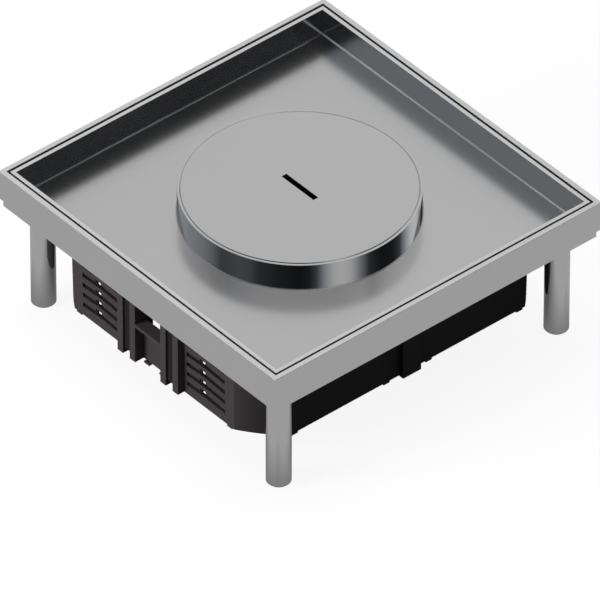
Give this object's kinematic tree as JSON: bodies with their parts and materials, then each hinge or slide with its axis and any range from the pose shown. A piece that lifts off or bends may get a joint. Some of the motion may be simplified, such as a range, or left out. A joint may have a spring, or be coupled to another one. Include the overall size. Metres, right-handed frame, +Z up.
{
  "type": "floor socket box",
  "caption": "Square recessed steel floor box with a round lidded service opening, a moulded device insert below and levelling feet at its corners.",
  "frame": {"origin": "on the floor, under the centre of the box, between its four feet", "axes": "+Z up, X and Y along the sides; the louvred ends of the insert face -Y and +Y"},
  "size_m": [0.243, 0.243, 0.0945],
  "materials": {
    "stainless": "brushed, satin",
    "zinc_steel": "zinc plated",
    "rubber": "matt black",
    "black_plastic": "moulded, fine grain",
    "socket_plastic": "smooth, dark grey",
    "brass": "bright"
  },
  "bodies": {
    "frame": {"outer_frame": "stainless", "rest_strip": "rubber", "insert_housing": "black_plastic", "insert_screws": "zinc_steel", "carrier_screws": "zinc_steel", "earth_terminal": "brass", "module_carrier_left": "black_plastic", "module_carrier_centre": "black_plastic", "module_carrier_right": "black_plastic", "blank_covers_left": "black_plastic", "blank_covers_right": "black_plastic", "corner_bracket_front_left": "zinc_steel", "corner_bracket_front_right": "zinc_steel", "corner_bracket_back_left": "zinc_steel", "corner_bracket_back_right": "zinc_steel", "spindle_bush_front_left": "zinc_steel", "spindle_bush_front_right": "zinc_steel", "spindle_bush_back_left": "zinc_steel", "spindle_bush_back_right": "zinc_steel", "socket_module_1": "socket_plastic", "socket_module_2": "socket_plastic", "socket_module_3": "socket_plastic", "earth_contacts_1": "brass", "earth_contacts_2": "brass", "earth_contacts_3": "brass"},
    "cassette": {"cassette_tray": "stainless", "edge_seal": "rubber", "tubus_ring": "stainless", "tubus_collar": "stainless", "tray_stiffeners": "zinc_steel"},
    "lid": {"tubus_lid": "stainless", "lid_gasket": "rubber", "key_cup": "stainless", "lid_stiffener": "stainless"},
    "spindle_front_left": {"levelling_spindle_front_left": "zinc_steel", "spindle_clip_front_left": "zinc_steel"},
    "foot_front_left": {"foot_sleeve_front_left": "stainless"},
    "spindle_front_right": {"levelling_spindle_front_right": "zinc_steel", "spindle_clip_front_right": "zinc_steel"},
    "foot_front_right": {"foot_sleeve_front_right": "stainless"},
    "spindle_back_left": {"levelling_spindle_back_left": "zinc_steel", "spindle_clip_back_left": "zinc_steel"},
    "foot_back_left": {"foot_sleeve_back_left": "stainless"},
    "spindle_back_right": {"levelling_spindle_back_right": "zinc_steel", "spindle_clip_back_right": "zinc_steel"},
    "foot_back_right": {"foot_sleeve_back_right": "stainless"}
  },
  "joints": [
    {"name": "cassette_lift", "type": "slide", "parent": "frame", "child": "cassette", "axis": [0, 0, 1], "range_m": [0, 0.06]},
    {"name": "lid_lift", "type": "slide", "parent": "cassette", "child": "lid", "axis": [0, 0, 1], "range_m": [0, 0.04]},
    {"name": "foot_travel_front_left", "type": "slide", "parent": "frame", "child": "foot_front_left", "axis": [0, 0, -1], "range_m": [0, 0.025]},
    {"name": "spindle_turn_front_left", "type": "hinge", "parent": "frame", "child": "spindle_front_left", "pos_m": [-0.104, -0.104, 0.0611], "axis": [0, 0, 1], "range_deg": [0, 7200]},
    {"name": "foot_travel_front_right", "type": "slide", "parent": "frame", "child": "foot_front_right", "axis": [0, 0, -1], "range_m": [0, 0.025]},
    {"name": "spindle_turn_front_right", "type": "hinge", "parent": "frame", "child": "spindle_front_right", "pos_m": [0.104, -0.104, 0.0611], "axis": [0, 0, 1], "range_deg": [0, 7200]},
    {"name": "foot_travel_back_left", "type": "slide", "parent": "frame", "child": "foot_back_left", "axis": [0, 0, -1], "range_m": [0, 0.025]},
    {"name": "spindle_turn_back_left", "type": "hinge", "parent": "frame", "child": "spindle_back_left", "pos_m": [-0.104, 0.104, 0.0611], "axis": [0, 0, 1], "range_deg": [0, 7200]},
    {"name": "foot_travel_back_right", "type": "slide", "parent": "frame", "child": "foot_back_right", "axis": [0, 0, -1], "range_m": [0, 0.025]},
    {"name": "spindle_turn_back_right", "type": "hinge", "parent": "frame", "child": "spindle_back_right", "pos_m": [0.104, 0.104, 0.0611], "axis": [0, 0, 1], "range_deg": [0, 7200]}
  ],
  "couplings": [
    {"joint": "spindle_turn_front_left", "follows": "foot_travel_front_left", "rad_per_m": 5026.5},
    {"joint": "spindle_turn_front_right", "follows": "foot_travel_front_right", "rad_per_m": 5026.5},
    {"joint": "spindle_turn_back_left", "follows": "foot_travel_back_left", "rad_per_m": 5026.5},
    {"joint": "spindle_turn_back_right", "follows": "foot_travel_back_right", "rad_per_m": 5026.5}
  ]
}
